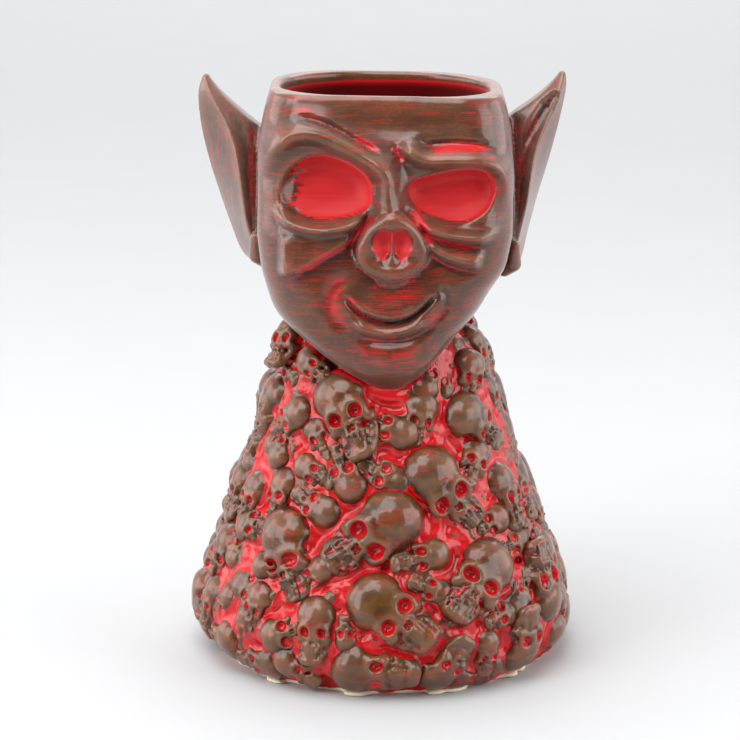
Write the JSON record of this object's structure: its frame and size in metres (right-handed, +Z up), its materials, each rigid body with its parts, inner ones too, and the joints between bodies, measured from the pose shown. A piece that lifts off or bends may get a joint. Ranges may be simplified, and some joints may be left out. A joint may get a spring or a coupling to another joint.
{
  "type": "tiki mug",
  "caption": "Hollow glazed ceramic drinking mug: a pointed-eared goblin head, open at the top, on a cone of relief skulls.",
  "frame": {"origin": "centre of the bounding box on the table plane, under the foot", "axes": "+Z up along the mug, the face looks along -Y, +X is to the viewer's right when facing the face"},
  "size_m": [0.1213, 0.1201, 0.18],
  "materials": {
    "brown_glaze": "glossy brown glaze wiped over red, which shows in the hollows and brush streaks",
    "red_glaze": "glossy opaque red glaze, pooled in the recesses and inside the cup",
    "bare_clay": "matt unglazed cream earthenware"
  },
  "bodies": {
    "root": {"head_shell": "brown_glaze", "nose": "brown_glaze", "left_ear": "brown_glaze", "right_ear": "brown_glaze", "neck_collar": "red_glaze", "mound_shell": "red_glaze", "foot_disc": "bare_clay", "skull_01": "brown_glaze", "skull_02": "brown_glaze", "skull_03": "brown_glaze", "skull_04": "brown_glaze", "skull_05": "brown_glaze", "skull_06": "brown_glaze", "skull_07": "brown_glaze", "skull_08": "brown_glaze", "skull_09": "brown_glaze", "skull_10": "brown_glaze", "skull_11": "brown_glaze", "skull_12": "brown_glaze", "skull_13": "brown_glaze", "skull_14": "brown_glaze", "skull_15": "brown_glaze", "skull_16": "brown_glaze", "skull_17": "brown_glaze", "skull_18": "brown_glaze", "skull_19": "brown_glaze", "skull_20": "brown_glaze", "skull_21": "brown_glaze", "skull_22": "brown_glaze", "skull_23": "brown_glaze", "skull_24": "brown_glaze", "skull_25": "brown_glaze", "skull_26": "brown_glaze", "skull_27": "brown_glaze", "skull_28": "brown_glaze", "skull_29": "brown_glaze", "skull_30": "brown_glaze", "skull_31": "brown_glaze", "skull_32": "brown_glaze", "skull_33": "brown_glaze", "skull_34": "brown_glaze", "skull_35": "brown_glaze", "skull_36": "brown_glaze", "skull_37": "brown_glaze", "skull_38": "brown_glaze", "skull_39": "brown_glaze", "skull_40": "brown_glaze", "skull_41": "brown_glaze", "skull_42": "brown_glaze", "skull_43": "brown_glaze", "skull_44": "brown_glaze", "skull_45": "brown_glaze", "skull_46": "brown_glaze", "skull_47": "brown_glaze", "skull_48": "brown_glaze", "skull_49": "brown_glaze", "skull_50": "brown_glaze", "skull_51": "brown_glaze", "skull_52": "brown_glaze"}
  },
  "joints": []
}
